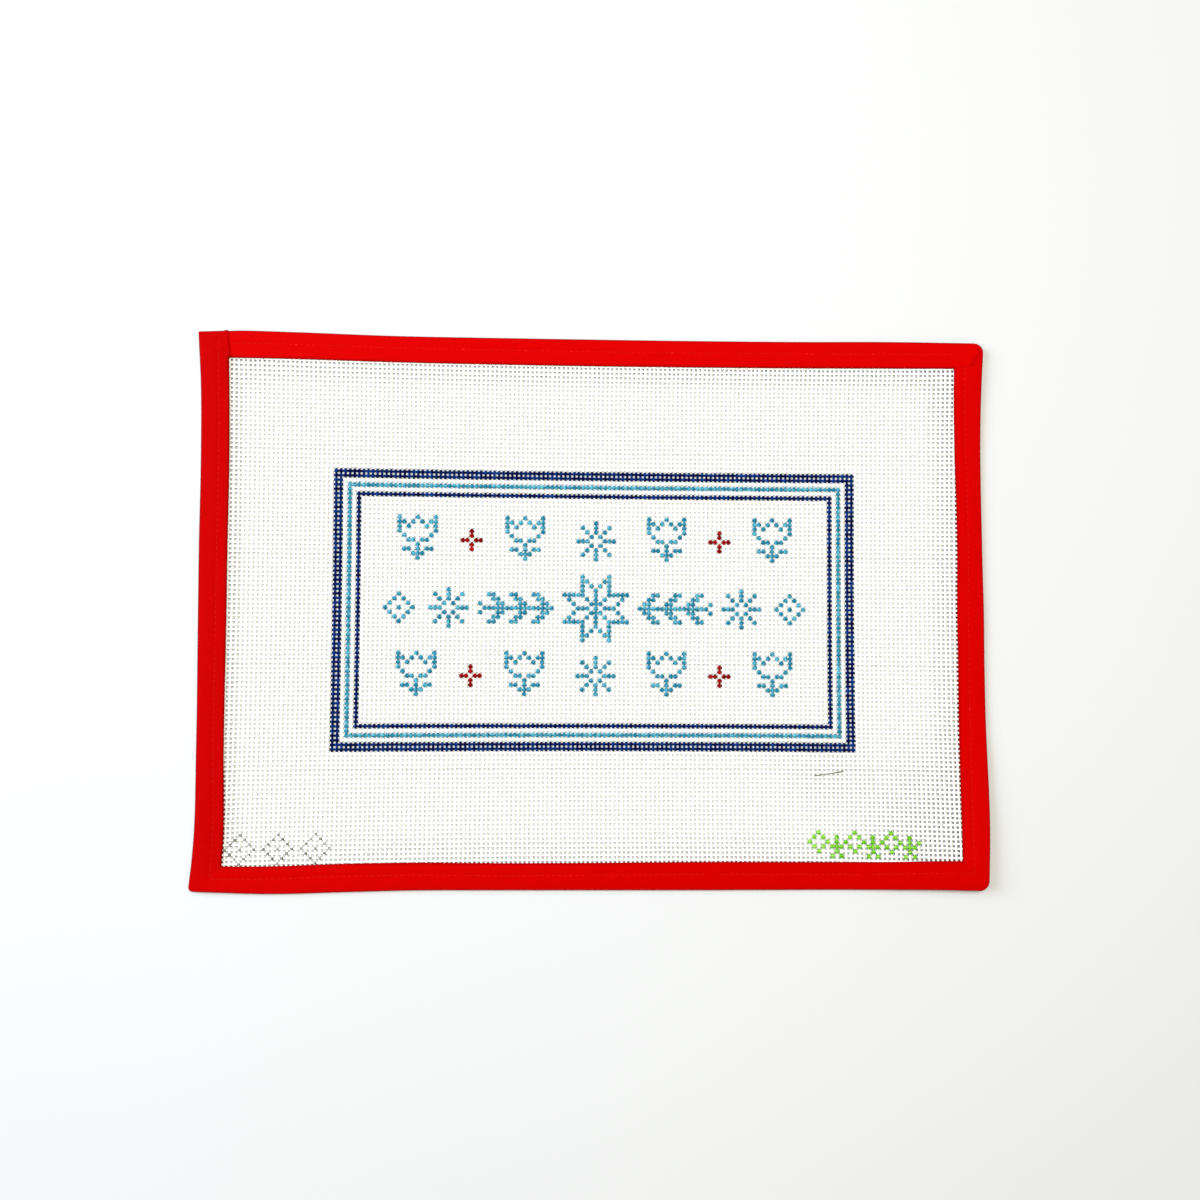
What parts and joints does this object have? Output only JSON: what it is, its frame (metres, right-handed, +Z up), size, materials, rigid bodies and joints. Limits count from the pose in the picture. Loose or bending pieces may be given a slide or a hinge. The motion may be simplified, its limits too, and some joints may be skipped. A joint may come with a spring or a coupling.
{
  "type": "needlepoint canvas panel",
  "caption": "Flat rectangle of painted open-weave needlepoint canvas, its raw edge bound all round with a folded cotton tape, lying face up.",
  "frame": {"origin": "bottom centre of the bounding box, on the surface that the panel lies on", "axes": "+X to the panel's right edge, +Y to its top edge, +Z up out of the painted face"},
  "size_m": [0.3476, 0.2434, 0.0071],
  "materials": {
    "canvas_cotton": "stiff white cotton canvas, open even weave, with a charted design painted on its face in navy, light blue and dark red",
    "red_tape": "matt bright red woven cotton tape, folded and sewn down with one line of stitches"
  },
  "bodies": {
    "root": {"canvas": "canvas_cotton", "binding_tape": "red_tape"}
  },
  "joints": []
}
